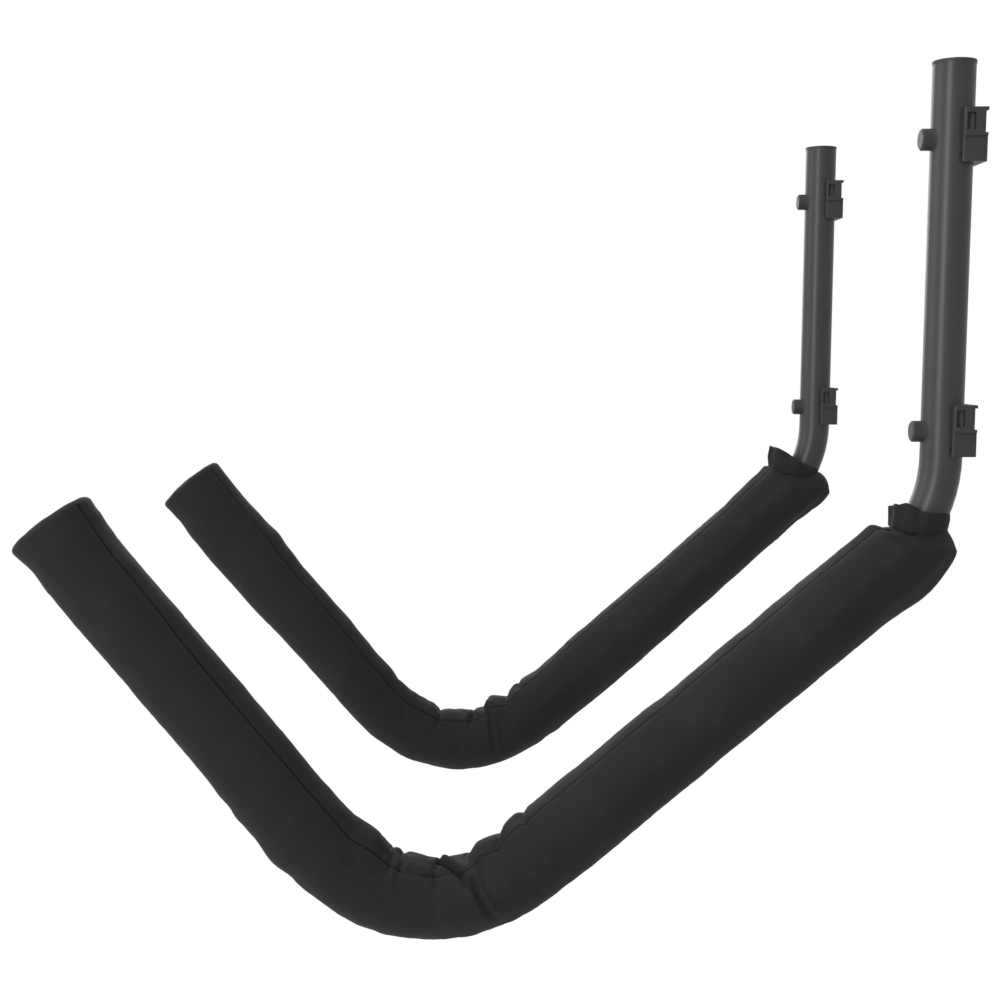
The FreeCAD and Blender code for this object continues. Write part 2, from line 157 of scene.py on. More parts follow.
# Rings and loops of the sleeve's mesh
AROUND = 96
SEAM_LOOP = 8
RING_STEP = 3.2
BEND_STEP = 2.2
BEND_SPAN = (320.0, 580.0)
BORE_STEP = 14.0
SHOULDER_RINGS = 16
COLLAR_RINGS = 10
FUNNEL_RINGS = 4
END_RINGS = 14

# The cloth: its solver steps, weight, stiffness and pressure, and how much larger it is than its foam
CLOTH = {
    "quality": 5,
    "mass": 0.1,
    "tension_stiffness": 30.0,
    "compression_stiffness": 30.0,
    "shear_stiffness": 10.0,
    "bending_stiffness": 4.0,
    "use_pressure": True,
    "uniform_pressure_force": 100.0,
    "shrink_min": -0.024,
}

# How long the cloth settles, how far it may move, and how firmly it is held
SETTLE_FRAMES = 12
SETTLE_CAP = 5.0
SETTLE_SMOOTHING = 3
LIMB_HOLD = 0.55
SLACK_HOLD = 0.22
SLACK_REACH = 105.0

# Seam line: station along the sleeve, angle from the inner side
SEAM_LINE = {
    "right": [
        (-40, 19), (60, 19), (230, 23), (360, 25), (390, 29), (425, 39), (440, 35), (475, 38), (520, 34),
        (560, 39), (730, 38), (820, 31), (895, 25),
    ],
    "left": [
        (-40, 22), (100, 23), (300, 25), (390, 33), (430, 37), (500, 36), (560, 38), (740, 36), (890, 28),
    ],
}
SEAM_START = 0.4

# Row of stitches beside a seam, in metres, and the tone and height of its thread
STITCH_OFFSET = 0.0034
STITCH_WIDTH = 0.0009
STITCH_PITCH = 0.0042
STITCH_SHARE = 0.72
THREAD_TONE = 1.3
STITCH_HEIGHT = 1.6

# Radians in a unit of a wave texture at scale 1
WAVE_RATE = 20

# Bunched folds on the inside of the bend: start, end, height
FOLDS = {
    "right": [
        (349, 377, 3.6), (377, 417, 4.2), (417, 446, 2.6),
        (452, 492, 3.0), (492, 509, 1.4), (509, 562, 4.8),
    ],
    "left": [(353, 375, 1.6), (375, 411, 5.0), (411, 431, 1.2), (431, 482, 2.6), (482, 562, 4.2)],
}
FOLD_ROUND = 0.75
FOLD_CREASE = 2.2
FOLD_CREASE_WIDTH = 3.2
FOLD_REACH = 60.0
FOLD_FADE = 1.2

# How the creases between the folds lean as they run round
MIDDLE_FOLD = 2
FOLD_LEAN = 0.05
FOLD_SWAY = 7.0
FOLD_SWAY_ANGLE = 38.0
FOLD_SWAY_DRAW = 1.5
FOLD_SWAY_SPREAD = 3.7

# Tucks: path of (station, angle), depth, half width
TUCKS = {
    "right": [
        ([(449, 4), (438, 22), (427, 41), (418, 66)], 7.0, 2.8),
        ([(417, 52), (413, 92), (411, 112)], 4.6, 2.4),
        ([(405, 35), (398, 58)], 2.0, 2.6),
        ([(481, 32), (462, 37), (443, 33)], 2.0, 2.2),
    ],
    "left": [
        ([(403, 20), (404, 34), (412, 86), (417, 132)], 4.2, 2.6),
        ([(431, 18), (436, 48)], 2.4, 2.6),
    ],
}
TUCK_REACH = 6
TUCK_FADE = 0.85
TUCK_RIDGE_AFTER = 0.55
TUCK_RIDGE_BEFORE = 0.25
TUCK_RIDGE_PLACE = 2.0
TUCK_RIDGE_WIDTH = 1.5

# How far the cover strays from the foam, outside and inside the arm: station, distance
OUTER_STRAY = {
    "right": [
        (-20, -1), (0, -1), (100, -0.6), (220, -1.5), (300, -1), (330, -1.2), (360, -2.6), (415, -4.9),
        (445, -3.4), (500, -0.8), (530, -1.2), (552, 0.9), (577, 6), (602, 3.4), (640, 2.1), (700, 0.2),
        (800, -0.7), (850, -1), (870, -2.4), (892, -0.4),
    ],
    "left": [
        (-32, 6), (-14, -1.5), (0, -4.4), (30, -2.6), (100, -1.5), (130, -0.3), (190, 1.4), (250, 3.2),
        (345, 1.8), (375, -0.4), (400, -2.6), (450, -2), (480, -4.2), (500, -3.6), (525, -5), (560, -3),
        (600, -2.2), (640, -0.8), (680, 0.6), (735, 3.2), (800, 4.6), (830, 4.2), (855, 2), (880, 3),
    ],
}
INNER_STRAY = {
    "right": [
        (-20, -2.4), (50, -2), (110, -1.8), (130, -1.2), (200, -1.8), (225, 0), (345, 0), (375, -2),
        (400, -0.5), (430, -5.4), (455, -5.4), (500, -3.2), (530, -1.2), (560, -1.6), (600, -2.4),
        (650, -1.4), (680, -1.4), (700, -0.7), (850, -0.6), (862, 0.2), (880, 2.4), (892, 3.8),
    ],
    "left": [
        (-30, 3.6), (0, 2.8), (30, 1), (50, -1), (75, -1.2), (130, -2), (270, -2.6), (325, -5.2), (350, -2),
        (375, -5.6), (395, 0.4), (425, -2.8), (475, -2.8), (500, -0.8), (530, -1.4), (560, -1), (575, 0.7),
        (600, -0.8), (645, 1.4), (680, 0), (725, -0.8), (750, 0.8), (800, 1), (825, -0.4), (880, 1.4),
    ],
}
STRAY_ROUND = 1.5

# Small bumps and hollows: station, angle, height, half length, half angle
BUMPS = {
    "right": [
        (622, 176, 1.2, 7, 26), (642, 186, 1.2, 8, 30), (606, 190, 1.0, 8, 24), (-4, 180, 4.0, 24, 50),
    ],
    "left": [(775, 0, 2.4, 14, 40)],
}

# Wrinkles: height, length, grain around the sleeve; then those of the bend, and the neck's pleats
WRINKLES = [(0.9, 62.0, 1.1), (0.45, 21.0, 2.3)]
CLOTH_DRAW = {"right": 5.0, "left": 23.0}
BEND_WRINKLE = 0.8
BEND_WRINKLE_LENGTH = 11.0
BEND_WRINKLE_GRAIN = 1.6
BEND_REACH = 130.0
PLEATS = 9
PLEAT_HEIGHT = 0.9
PLEAT_SWAY = 2.2
PLEAT_GRAIN = 2
NECK_REACH = 34.0

# Web in the window of a tube hook, in millimetres from the hook's cheek, front and top
WEB_RECESS = 4.0
WEB_THICKNESS = 1.2
WEB_MIDDLE = (5.0, -10.15)
WEB_SIZE = (6.8, 13.1)
WEB_ROUND = 0.9
WEB_BORDER = 0.6
WEB_HOLLOW = 0.4

# Floor, in metres: half its width, and the round that keeps the shadow
FLOOR_HALF = 9.0
SHADOW_CENTRE = (0.0, -0.37)
SHADOW_INNER = 0.8
SHADOW_OUTER = 1.05

# Soft boxes, in metres: place, width, height, share of the key light's power
LAMP_AIM = (0.0, -0.36, -0.15)
LAMPS = {
    "key_box": ((2.08, -1.55, 0.35), 0.27, 1.7, 1.0),
    "top_box": ((0.3, -0.7, 2.3), 2.2, 1.6, 0.77),
    "side_box": ((0.0, -2.7, 0.5), 1.4, 1.8, 0.5),
    "far_box": ((-2.3, -1.0, 0.8), 1.6, 1.8, 0.7),
}


def on_circle(degrees):
    turn = math.radians(degrees)
    return math.cos(turn), math.sin(turn)


def sloped(degrees):
    cos, sin = on_circle(degrees)
    return Vector((0, -cos, sin))


def turned(vector, degrees):
    """A vector of the arm's plane, turned the way that both bends turn."""
    cos, sin = on_circle(degrees)
    return Vector((vector.x, vector.y * cos + vector.z * sin, vector.z * cos - vector.y * sin))


class CentreLine:
    """The middle of an arm, by the length from the end of the elbow, in the plane X = 0."""

    def __init__(self):
        tangent = BEND_RADIUS * math.tan(math.radians((90 - BACK_DROP) / 2))
        cradle_tangent = BEND_RADIUS * math.tan(math.radians(CRADLE_TURN / 2))
        self.back = sloped(-BACK_DROP)
        self.front = turned(self.back, CRADLE_TURN)
        self.limb = BACK_LENGTH - tangent - cradle_tangent
        self.arc = BEND_RADIUS * math.radians(CRADLE_TURN)
        self.elbow_end = Vector((0, TUBE_Y, ELBOW_Z)) + self.back * tangent
        self.elbow_centre = self.elbow_end + turned(self.back, 90) * BEND_RADIUS
        bend_start = self.elbow_end + self.back * self.limb
        self.bend_centre = bend_start + turned(self.back, 90) * BEND_RADIUS
        self.bend_end = self.bend_centre - turned(self.front, 90) * BEND_RADIUS

    def at(self, along):
        """Point, heading and direction to the inside of the bends."""
        if along < 0:
            heading = turned(self.back, math.degrees(along / BEND_RADIUS))
            inward = turned(heading, 90)
            return self.elbow_centre - inward * BEND_RADIUS, heading, inward
        if along <= self.limb:
            return self.elbow_end + self.back * along, self.back, turned(self.back, 90)
        if along < self.limb + self.arc:
            heading = turned(self.back, CRADLE_TURN * (along - self.limb) / self.arc)
            inward = turned(heading, 90)
            return self.bend_centre - inward * BEND_RADIUS, heading, inward
        past = along - self.limb - self.arc
        return self.bend_end + self.front * past, self.front, turned(self.front, 90)

    def shoulder_gap(self, side, point):
        """Signed distance to the pad's wall end, cut across and rounded."""
        from_end = point - self.elbow_end
        if from_end.dot(self.back) > 0:
            across = from_end - self.back * from_end.dot(self.back)
            reach = across.length
        else:
            from_centre = point - self.elbow_centre
            ring = math.hypot(from_centre.y, from_centre.z) - BEND_RADIUS
            reach = math.hypot(ring, point.x)
        rim = PAD_END[side]["round"]
        flank = reach - cover_radius() + rim
        top = pad_rise(side, point) + droop(side, point) + rim
        return math.hypot(max(flank, 0), max(top, 0)) + min(max(flank, top), 0) - rim


LINE = CentreLine()


def cover_radius():
    return bpy.context.scene.rack_sleeve.radius / MM


def pad_normal(side):
    return turned(Vector((0, 0, 1)), PAD_END[side]["tilt"])


def pad_rise(side, point):
    """Height of a point above the flat of the pad's wall end."""
    return (point - Vector((0, *PAD_END[side]["point"]))).dot(pad_normal(side))


def droop(side, point):
    """How far the pad's wall end hangs down at its two sides and towards the wall."""
    end = PAD_END[side]
    wall = max(0.0, (point.y - end["wall_start"]) / WALL_DROOP_LENGTH)
    return end["droop"] * (point.x / cover_radius()) ** 2 + end["wall_droop"] * wall**2


def lerp(first, second, share):
    return first + (second - first) * share


def smooth(value):
    value = min(max(value, 0.0), 1.0)
    return value * value * (3 - 2 * value)


def read_line(line, along):
    """The value of a line of (station, value) pairs at a station."""
    before = line[0]
    for after in line:
        if after[0] >= along:
            break
        before = after
    if after[0] <= before[0]:
        return after[1]
    return lerp(before[1], after[1], smooth((along - before[0]) / (after[0] - before[0])))


def bell(distance, width):
    return math.exp(-((distance / width) ** 2))


def angle_gap(first, second):
    return (first - second + 180) % 360 - 180


def ripple(*place):
    """Smooth noise at a place of three numbers, from about -1 to 1."""
    return noise.noise(Vector(place))


def spoke(inward, degrees):
    """The direction out from the centre line, by the angle from the inner side."""
    cos, sin = on_circle(degrees)
    return inward * cos + SIDEWAYS * sin


def fold_swell(side, along, degrees):
    """Height of the bunched folds, with creases that lean as they run round the sleeve."""
    fade = math.cos(math.radians(min(abs(degrees), FOLD_REACH) * 90 / FOLD_REACH))
    reach = max(0.0, fade) ** FOLD_FADE
    if reach == 0:
        return 0.0
    height = 0.0
    for k, (start, end, rise) in enumerate(FOLDS[side]):
        lean = FOLD_SWAY * ripple(degrees / FOLD_SWAY_ANGLE, k * FOLD_SWAY_SPREAD, FOLD_SWAY_DRAW)
        lean += (k - MIDDLE_FOLD) * abs(degrees) * FOLD_LEAN
        here = along + lean
        share = (here - start) / (end - start)
        if 0 < share < 1:
            height += rise * math.sin(math.pi * share) ** FOLD_ROUND
        height -= FOLD_CREASE * bell(here - start, FOLD_CREASE_WIDTH)
    return height * reach


def path_gap(path, along, degrees):
    """Distance from a path on the sleeve, which side of it, and how far down the path, from 0 to 1."""
    per_degree = math.radians(1) * cover_radius()
    best = (math.inf, 0, 0)
    for k, (first, second) in enumerate(zip(path, path[1:])):
        run = Vector((second[0] - first[0], angle_gap(second[1], first[1]) * per_degree))
        here = Vector((along - first[0], angle_gap(degrees, first[1]) * per_degree))
        share = min(max(here.dot(run) / run.length_squared, 0), 1)
        away = here - run * share
        side = run.x * away.y - run.y * away.x
        if away.length < best[0]:
            best = (away.length, side, (k + share) / (len(path) - 1))
    return best


def tuck_swell(side, along, degrees):
    """Depth of the tucks, with a ridge along each side of them."""
    height = 0.0
    for path, depth, width in TUCKS[side]:
        gap, which, down = path_gap(path, along, degrees)
        if gap > TUCK_REACH * width:
            continue
        fade = 1 - TUCK_FADE * down * down
        height -= depth * fade * bell(gap, width)
        ridge = TUCK_RIDGE_AFTER if which > 0 else TUCK_RIDGE_BEFORE
        height += depth * ridge * fade * bell(gap - TUCK_RIDGE_PLACE * width, TUCK_RIDGE_WIDTH * width)
    return height


def cloth_swell(side, along, degrees):
    """How far the cover stands off its plain round, in millimetres."""
    height = stray_swell(side, along, degrees)
    if BEND_SPAN[0] < along < BEND_SPAN[1]:
        height += fold_swell(side, along, degrees) + tuck_swell(side, along, degrees)
    return height


def stray_swell(side, along, degrees):
    """How far the cover strays from its plain round apart from its folds."""
    height = 0.0
    for centre, angle, rise, half_length, half_angle in BUMPS[side]:
        height += rise * bell(along - centre, half_length) * bell(angle_gap(degrees, angle), half_angle)
    draw = CLOTH_DRAW[side]
    round_x, round_y = on_circle(degrees)
    stray = INNER_STRAY if round_x > 0 else OUTER_STRAY
    height += read_line(stray[side], along) * abs(round_x) ** STRAY_ROUND
    for rise, length, grain in WRINKLES:
        height += rise * ripple(along / length, round_x * grain + draw, round_y * grain)
    bend = BEND_WRINKLE * bell(along - LINE.limb - LINE.arc / 2, BEND_REACH)
    place = along / BEND_WRINKLE_LENGTH + round_x
    height += bend * ripple(place, round_x * BEND_WRINKLE_GRAIN + draw, round_y * BEND_WRINKLE_GRAIN)
    neck = PLEAT_HEIGHT * bell(along - SHOULDER_START, NECK_REACH)
    sway = PLEAT_SWAY * ripple(round_x * PLEAT_GRAIN, round_y * PLEAT_GRAIN, draw)
    return height + neck * math.cos(PLEATS * math.radians(degrees) + sway)


def level_ring(ring, degrees):
    """Centre of a ring that may tilt down towards the wall, and the direction out from it."""
    cos, sin = on_circle(degrees)
    return Vector((0, *ring["centre"])), sloped(ring["tilt"]) * cos + SIDEWAYS * sin * ring["width"]


def gather(side, degrees, share):
    """Gathers of the collar: strong at the lip, weaker at the crease and by the wall."""
    draw = COLLAR_DRAW[side]
    round_x, round_y = on_circle(degrees)
    sway = ripple(round_x * GATHER_GRAIN, round_y * GATHER_GRAIN, draw)
    wave = math.cos(GATHERS * math.radians(degrees) + GATHER_SWAY * sway + draw)
    wave *= GATHER_EVEN + GATHER_UNEVEN * ripple(round_x, round_y, draw + UNEVEN_DRAW)
    return wave * lerp(*GATHER_HEIGHT, 1 - share) * lerp(GATHER_BY_WALL, 1.0, (1 + round_x) / 2)


def collar_point(side, share, degrees, inset=0.0):
    """A point of the collar, from its lip at 0 to its crease at 1."""
    if share < COLLAR_SHARE:
        first, second, part = LIP[side], COLLAR[side], share / COLLAR_SHARE
    else:
        first, second, part = COLLAR[side], CREASE[side], (share - COLLAR_SHARE) / (1 - COLLAR_SHARE)
    first_centre, first_out = level_ring(first, degrees)
    second_centre, second_out = level_ring(second, degrees)
    centre = first_centre.lerp(second_centre, part)
    out = first_out.lerp(second_out, part)
    radius = lerp(first["radius"], second["radius"], part)
    point = centre + out * (radius + gather(side, degrees, share) - inset)
    round_x, round_y = on_circle(degrees)
    rise = LIP_WAVE * ripple(round_x * LIP_WAVE_GRAIN, round_y * LIP_WAVE_GRAIN, LIP_WAVE_DRAW)
    for angle, height, half_angle in LIP_HUMPS[side]:
        rise += height * bell(angle_gap(degrees, angle), half_angle)
    point.z += rise * (1 - share) - droop(side, point) * smooth(share)
    return point


def shoulder_point(side, share, degrees):
    """A point of the shoulder, from the sleeve at 0 to the crease at 1, on a ray from inside the pad."""
    point, heading, inward = LINE.at(SHOULDER_START)
    normal = pad_normal(side)
    level = 90 - BACK_DROP - math.degrees(-SHOULDER_START / BEND_RADIUS)
    tilt = smooth(share) * (level - PAD_END[side]["tilt"])
    crease_centre = Vector((0, *CREASE[side]["centre"]))
    crease_centre -= normal * (crease_centre - point).dot(normal)
    start = point.lerp(crease_centre, share)
    radial = spoke(turned(inward, -tilt), degrees)
    last_lean = math.atan2(-pad_rise(side, crease_centre), CREASE[side]["radius"] + CREASE_OVERLAP)
    lean = math.radians(math.degrees(last_lean) * share)
    ray = radial * math.cos(lean) - turned(heading, -tilt) * math.sin(lean)
    near, far = 0.0, RAY_LENGTH
    for _ in range(RAY_HALVINGS):
        middle = (near + far) / 2
        if LINE.shoulder_gap(side, start + ray * middle) < 0:
            near = middle
        else:
            far = middle
    swell = cloth_swell(side, SHOULDER_START - SHOULDER_FADE_LENGTH * share, degrees)
    return start + ray * (near + swell * (1 - SHOULDER_CALM * share))


def end_lean(side, along, inwards):
    """How far the slanting cut of the free end moves a point along the sleeve."""
    near = smooth(1 + (along - SLEEVE_END[side]) / END_LEAN_LENGTH)
    return -near * inwards * math.tan(math.radians(END_LEAN[side]))


def sleeve_point(side, along, degrees):
    point, heading, inward = LINE.at(along)
    out = spoke(inward, degrees)
    reach = cover_radius() + cloth_swell(side, along, degrees)
    return point + out * reach + heading * end_lean(side, along, out.dot(inward) * reach)


def end_point(side, share, degrees):
    """The sewn free end: a rounded rim and a low crown."""
    last = SLEEVE_END[side]
    point, heading, inward = LINE.at(last)
    out = spoke(inward, degrees)
    radius = cover_radius() + cloth_swell(side, last, degrees)
    if share < END_RIM:
        angle = share / END_RIM * math.pi / 2
        reach = radius - END_ROUND * (1 - math.cos(angle))
        rise = END_ROUND * math.sin(angle)
    else:
        inset = (share - END_RIM) / (1 - END_RIM)
        reach = (radius - END_ROUND) * (1 - inset)
        rise = END_ROUND + END_CROWN * (1 - (1 - inset) ** 2)
    dimple = DIMPLE * ripple(*(part * reach / DIMPLE_LENGTH for part in out))
    rise += dimple * min(share / END_RIM, 1) + end_lean(side, last, out.dot(inward) * reach)
    return point + out * reach + heading * rise


def bore_point(along, degrees):
    point, _, inward = LINE.at(along)
    return point + spoke(inward, degrees) * BORE_RADIUS


def funnel_point(side, share, degrees):
    """The inside of the collar, from the tube at 0 to the lip at 1."""
    foot = bore_point(FUNNEL_FOOT, degrees)
    lip = collar_point(side, FUNNEL_TOP, degrees, LIP_THICKNESS)
    return foot.lerp(lip, smooth(share) * FUNNEL_FLARE + share * (1 - FUNNEL_FLARE))


def steps(start, end, step):
    count = max(1, round(abs(end - start) / step))
    return [lerp(start, end, k / count) for k in range(count + 1)]


def shares(count):
    return [k / count for k in range(1, count)]


def sleeve_rings(side):
    """The rings of a sleeve as (zone, place): up its bore, over the lip, and along to the sewn end."""
    first, last = BEND_SPAN
    stations = steps(SHOULDER_START, first, RING_STEP)[:-1] + steps(first, last, BEND_STEP)[:-1]
    places = {
        "foot": [BORE_END],
        "bore": steps(BORE_END, FUNNEL_FOOT, BORE_STEP),
        "funnel": [*shares(FUNNEL_RINGS), 1.0],
        "collar": [0.0, *shares(COLLAR_RINGS), 1.0],
        "shoulder": [1 - share for share in [0.0, *shares(SHOULDER_RINGS)]],
        "sleeve": stations + steps(last, SLEEVE_END[side], RING_STEP),
        "end": [*shares(END_RINGS), 1.0],
    }
    return [(zone, place) for zone in places for place in places[zone]]


def last_sleeve_ring(rings):
    return max(k for k, ring in enumerate(rings) if ring[0] == "sleeve")


ZONE_POINT = {
    "funnel": funnel_point,
    "collar": collar_point,
    "shoulder": shoulder_point,
    "sleeve": sleeve_point,
    "end": end_point,
}


def ring_point(side, ring, degrees):
    zone, place = ring
    if zone == "foot":
        return LINE.at(place)[0]
    if zone == "bore":
        return bore_point(place, degrees)
    return ZONE_POINT[zone](side, place, degrees)


def ring_station(side, ring):
    """The station of a ring along the cloth, for the seam and the weave."""
    zone, place = ring
    if zone in ("foot", "bore", "sleeve"):
        return place
    if zone == "end":
        return SLEEVE_END[side] + place * (END_ROUND + cover_radius())
    if zone == "shoulder":
        return SHOULDER_START - SHOULDER_CLOTH * place
    past = 1 - place if zone == "collar" else 2 - place
    return SHOULDER_START - SHOULDER_CLOTH - COLLAR_CLOTH * past


def column_angle(side, column, station):
    """Degrees from the inner side of a loop of the mesh: two loops follow the seams."""
    seam = read_line(SEAM_LINE[side], station)
    half = AROUND // 2
    size = abs(column)
    if size <= SEAM_LOOP:
        degrees = seam * size / SEAM_LOOP
    else:
        degrees = lerp(seam, 180.0, (size - SEAM_LOOP) / (half - SEAM_LOOP))
    return math.copysign(degrees, column) if column else 0.0


def rolled_tube(rings):
    """A straight tube of quads, one unit long for each ring."""
    bm = bmesh.new()
    bmesh.ops.create_circle(bm, segments=AROUND, radius=1.0)
    bmesh.ops.spin(
        bm, geom=bm.edges[:], cent=(0, 0, 0), axis=(0, 0, 1), dvec=(0, 0, 1), angle=0, steps=rings - 1
    )
    return bm


def shaped_sleeve(side):
    """A sleeve's mesh in metres, with its ring, column and place on the cloth kept on each vertex."""
    rings = sleeve_rings(side)
    bm = rolled_tube(len(rings))
    ring_layer = bm.verts.layers.int.new("ring")
    column_layer = bm.verts.layers.int.new("column")
    along_layer = bm.verts.layers.float.new("along")
    around_layer = bm.verts.layers.float.new("around")
    offset = Vector((ARM_X[side], 0, 0))
    for vert in bm.verts:
        ring = rings[round(vert.co.z)]
        column = round(math.atan2(vert.co.y, vert.co.x) * AROUND / math.tau)
        if column == -(AROUND // 2):
            column = AROUND // 2
        station = ring_station(side, ring)
        degrees = column_angle(side, column, station)
        vert[ring_layer] = round(vert.co.z)
        vert[column_layer] = column
        vert[along_layer] = station
        vert[around_layer] = math.radians(degrees) * cover_radius()
        vert.co = (ring_point(side, ring, degrees) + offset) * MM
    bmesh.ops.remove_doubles(bm, verts=bm.verts, dist=SAME_PLACE)
    bmesh.ops.recalc_face_normals(bm, faces=bm.faces)
    ease_shoulder(side, bm, rings)
    return bm


def ease_shoulder(side, bm, rings):
    """Softens the rim of the pad's wall end, and the crease of the collar away from the inner side."""
    ring_layer = bm.verts.layers.int["ring"]
    around_layer = bm.verts.layers.float["around"]
    rim = []
    crease = []
    for vert in bm.verts:
        zone, place = rings[vert[ring_layer]]
        if (zone == "shoulder" and place < RIM_SHARE) or (zone == "sleeve" and place < RIM_STATION):
            rim.append(vert)
        if abs(vert[around_layer]) / cover_radius() <= CREASE_FADE:
            continue
        above = zone == "collar" and place > CREASE_COLLAR_SHARE
        if above or (zone == "shoulder" and place > CREASE_SHOULDER_SHARE):
            crease.append(vert)
    for verts, rounds in ((rim, SHOULDER_EASING[side]), (crease, CREASE_EASING)):
        for _ in range(rounds):
            bmesh.ops.smooth_vert(
                bm, verts=verts, factor=EASING, use_axis_x=True, use_axis_y=True, use_axis_z=True
            )


def groove(bm, edges, width, depth):
    """A sewn seam: the edges become a narrow band whose middle is drawn in."""
    made = bmesh.ops.bevel(
        bm, geom=edges, offset=width / 2, affect="EDGES", segments=2, profile=0.5, material=-1
    )
    band = set(made["faces"])
    bm.normal_update()
    middle = [vert for vert in made["verts"] if all(face in band for face in vert.link_faces)]
    moves = {vert: vert.normal * depth for vert in middle}
    for vert, move in moves.items():
        vert.co -= move
    bmesh.ops.dissolve_degenerate(bm, edges=bm.edges, dist=SAME_PLACE)


def seam_edges(bm, side):
    """The edges of the two long seams."""
    rings = sleeve_rings(side)
    ring_layer = bm.verts.layers.int["ring"]
    column_layer = bm.verts.layers.int["column"]
    first = next(k for k, ring in enumerate(rings) if ring[0] == "shoulder" and ring[1] < SEAM_START)
    last = last_sleeve_ring(rings)
    picked = []
    for edge in bm.edges:
        a, b = edge.verts
        low, high = sorted((a[ring_layer], b[ring_layer]))
        if abs(a[column_layer]) == SEAM_LOOP and a[column_layer] == b[column_layer]:
            if first <= low and high <= last:
                picked.append(edge)
    return picked


def lay_weave(side, bm):
    """UV maps in metres: the place on the cloth, and the distance from the seam."""
    last = last_sleeve_ring(sleeve_rings(side))
    tip, _, inward = LINE.at(SLEEVE_END[side])
    tip = tip + SIDEWAYS * ARM_X[side]
    ring_layer = bm.verts.layers.int["ring"]
    along_layer = bm.verts.layers.float["along"]
    around_layer = bm.verts.layers.float["around"]
    uv_layer = bm.loops.layers.uv.new("weave")
    stitch_layer = bm.loops.layers.uv.new("stitch")
    half_turn = math.pi * cover_radius()
    for face in bm.faces:
        on_end = all(vert[ring_layer] >= last for vert in face.verts)
        arounds = [loop.vert[around_layer] for loop in face.loops]
        wraps = max(arounds) - min(arounds) > half_turn
        for loop, around in zip(face.loops, arounds):
            along = loop.vert[along_layer]
            if on_end:
                flat = loop.vert.co / MM - tip
                loop[uv_layer].uv = (flat.x * MM, flat.dot(inward) * MM)
                loop[stitch_layer].uv = (half_turn * MM, along * MM)
                continue
            seam = math.radians(read_line(SEAM_LINE[side], along)) * cover_radius()
            loop[stitch_layer].uv = ((abs(around) - seam) * MM, along * MM)
            if wraps and around < 0:
                around += 2 * half_turn
            loop[uv_layer].uv = (around * MM, along * MM)


def held_share(ring, degrees):
    """How firmly a point of the cloth is held: the slack lies on the inside of the bend."""
    zone, place = ring
    if zone in ("shoulder", "end"):
        return lerp(LIMB_HOLD, 1.0, place)
    if zone != "sleeve":
        return 1.0
    middle = LINE.limb + LINE.arc / 2
    slack = bell(place - middle, SLACK_REACH) * (1 + math.cos(math.radians(degrees))) / 2
    return lerp(LIMB_HOLD, SLACK_HOLD, slack)


def softened(vert, moves):
    """A vertex's move, evened out with those of its neighbours."""
    around = [moves[edge.other_vert(vert)] for edge in vert.link_edges]
    return (moves[vert] + sum(around, Vector()) / len(around)) / 2


def settle(side, bm):
    """Lets the cloth swell and bunch up in the bend, and moves the mesh to where it rests."""
    rings = sleeve_rings(side)
    bm.verts.index_update()
    trial = linked(f"{side}_trial", bm.copy())
    held = trial.vertex_groups.new(name="held")
    ring_layer = bm.verts.layers.int["ring"]
    around_layer = bm.verts.layers.float["around"]
    for vert in bm.verts:
        ring = rings[vert[ring_layer]]
        degrees = math.degrees(vert[around_layer] / cover_radius())
        held.add([vert.index], held_share(ring, degrees), "REPLACE")
    cloth = trial.modifiers.new("cloth", "CLOTH")
    for name, value in CLOTH.items():
        setattr(cloth.settings, name, value)
    cloth.settings.effector_weights.gravity = 0.0
    cloth.settings.vertex_group_mass = held.name
    cloth.collision_settings.use_collision = False
    cloth.point_cache.frame_end = SETTLE_FRAMES
    scene = bpy.context.scene
    for step in range(1, SETTLE_FRAMES + 1):
        scene.frame_set(step)
    done = trial.evaluated_get(bpy.context.evaluated_depsgraph_get()).data.vertices
    cap = SETTLE_CAP * MM
    moves = {}
    for vert, rest in zip(bm.verts, done):
        move = rest.co - vert.co
        moves[vert] = move * min(1.0, cap / max(move.length, SAME_PLACE))
    for _ in range(SETTLE_SMOOTHING):
        moves = {vert: softened(vert, moves) for vert in bm.verts}
    for vert, move in moves.items():
        vert.co += move
    bpy.data.objects.remove(trial)
    scene.frame_set(1)


def linked(name, bm):
    """A smooth-shaded object in the scene, made of a mesh that is then freed."""
    mesh = bpy.data.meshes.new(name)
    bm.to_mesh(mesh)
    bm.free()
    mesh.polygons.foreach_set("use_smooth", [True] * len(mesh.polygons))
    piece = bpy.data.objects.new(name, mesh)
    bpy.context.scene.collection.objects.link(piece)
    return piece


def set_inputs(node, inputs):
    for socket, value in inputs.items():
        node.inputs[socket.replace("_", " ")].default_value = value


def new_material(name, **inputs):
    """A node material, its tree and its principled shader with these uniform values."""
    material = bpy.data.materials.new(name)
    material.use_nodes = True
    tree = material.node_tree
    shader = tree.nodes["Principled BSDF"]
    set_inputs(shader, inputs)
    return material, tree, shader


def add_node(tree, kind, **inputs):
    node = tree.nodes.new(kind)
    set_inputs(node, inputs)
    return node


def calculate(tree, operation, first, second):
    """A sum on a varying value and a number or another varying value."""
    node = tree.nodes.new("ShaderNodeMath")
    node.operation = operation
    tree.links.new(first, node.inputs[0])
    if isinstance(second, (int, float)):
        node.inputs[1].default_value = second
    else:
        tree.links.new(second, node.inputs[1])
    return node.outputs["Value"]


def ramp(tree, source, low, high):
    """A colour ramp between two tones, fed by a value."""
    node = tree.nodes.new("ShaderNodeValToRGB")
    node.color_ramp.elements[0].color = (*low, 1)
    node.color_ramp.elements[1].color = (*high, 1)
    tree.links.new(source, node.inputs["Fac"])
    return node.outputs["Color"]


